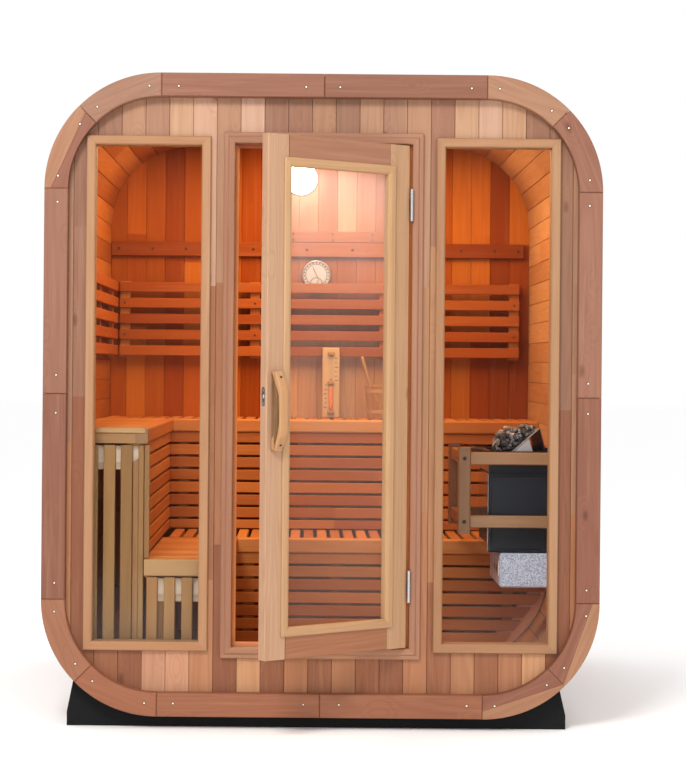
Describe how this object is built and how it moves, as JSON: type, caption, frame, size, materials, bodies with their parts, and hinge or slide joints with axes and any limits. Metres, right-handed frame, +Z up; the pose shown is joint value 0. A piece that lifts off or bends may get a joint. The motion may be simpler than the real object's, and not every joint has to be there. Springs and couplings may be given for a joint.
{
  "type": "barrel sauna",
  "caption": "Rounded-square timber barrel sauna on cradles: stave barrel, boarded ends, fixed windows, glazed hinged door, slatted benches, backrests, guarded stone heater.",
  "frame": {"origin": "on the ground, in the middle of the footprint with the door standing ajar as in the rest pose", "axes": "+X to the right seen from the front, +Y from the door end to the back wall, +Z up"},
  "size_m": [1.8, 2.2012, 2.115],
  "materials": {
    "cedar_staves": "satin",
    "cedar_trim": "satin",
    "black_timber": "matte",
    "cedar_boards": "satin",
    "pale_frame_wood": "satin",
    "clear_glass": "polished",
    "door_wood": "satin",
    "hinge_steel": "satin",
    "bench_wood": "satin",
    "lamp_glass": "gloss",
    "gauge_rim": "satin",
    "fitting_wood": "satin",
    "heater_steel": "satin",
    "heater_rock": "matte",
    "speckled_paint": "satin"
  },
  "bodies": {
    "cabin": {"floor_staves": "cedar_staves", "roof_staves": "cedar_staves", "left_wall_staves": "cedar_staves", "right_wall_staves": "cedar_staves", "upper_left_corner_staves": "cedar_staves", "upper_right_corner_staves": "cedar_staves", "lower_left_corner_staves": "cedar_staves", "lower_right_corner_staves": "cedar_staves", "front_trim_boards": "cedar_trim", "front_trim_corners": "cedar_trim", "rear_trim_boards": "cedar_trim", "rear_trim_corners": "cedar_trim", "front_cradle": "black_timber", "rear_cradle": "black_timber", "front_wall_left": "cedar_boards", "front_wall_right": "cedar_boards", "front_wall_over_door": "cedar_boards", "front_wall_under_door": "cedar_boards", "back_wall": "cedar_boards", "left_window_frame": "pale_frame_wood", "right_window_frame": "pale_frame_wood", "door_casing": "pale_frame_wood", "door_jamb": "pale_frame_wood", "left_window_pane": "clear_glass", "right_window_pane": "clear_glass", "frame_hinges": "hinge_steel", "upper_bench_back": "bench_wood", "upper_bench_left": "bench_wood", "lower_bench_back": "bench_wood", "lower_bench_left": "bench_wood", "upper_skirt_back": "bench_wood", "upper_skirt_left": "bench_wood", "lower_skirt_back": "bench_wood", "lower_skirt_left": "bench_wood", "upper_end_panel": "bench_wood", "lower_end_panel": "bench_wood", "backrest_back": "bench_wood", "backrest_left": "bench_wood", "wall_rail": "bench_wood", "heater_guard": "bench_wood", "wall_lamp": "lamp_glass", "dial_gauge": "gauge_rim", "sand_timer": "fitting_wood", "bucket": "fitting_wood", "ladle": "fitting_wood", "heater_body": "heater_steel", "heater_stones": "heater_rock", "heater_control_box": "speckled_paint"},
    "door": {"door_stiles": "door_wood", "door_rails": "door_wood", "door_pane": "clear_glass", "door_bead": "door_wood", "door_handle": "door_wood", "door_latch": "hinge_steel", "door_hinges": "hinge_steel"}
  },
  "joints": [
    {"name": "door_hinge", "type": "hinge", "parent": "cabin", "child": "door", "pos_m": [0.2845, -0.7455, 0], "axis": [0, 0, 1], "range_deg": [-37, 68]}
  ]
}
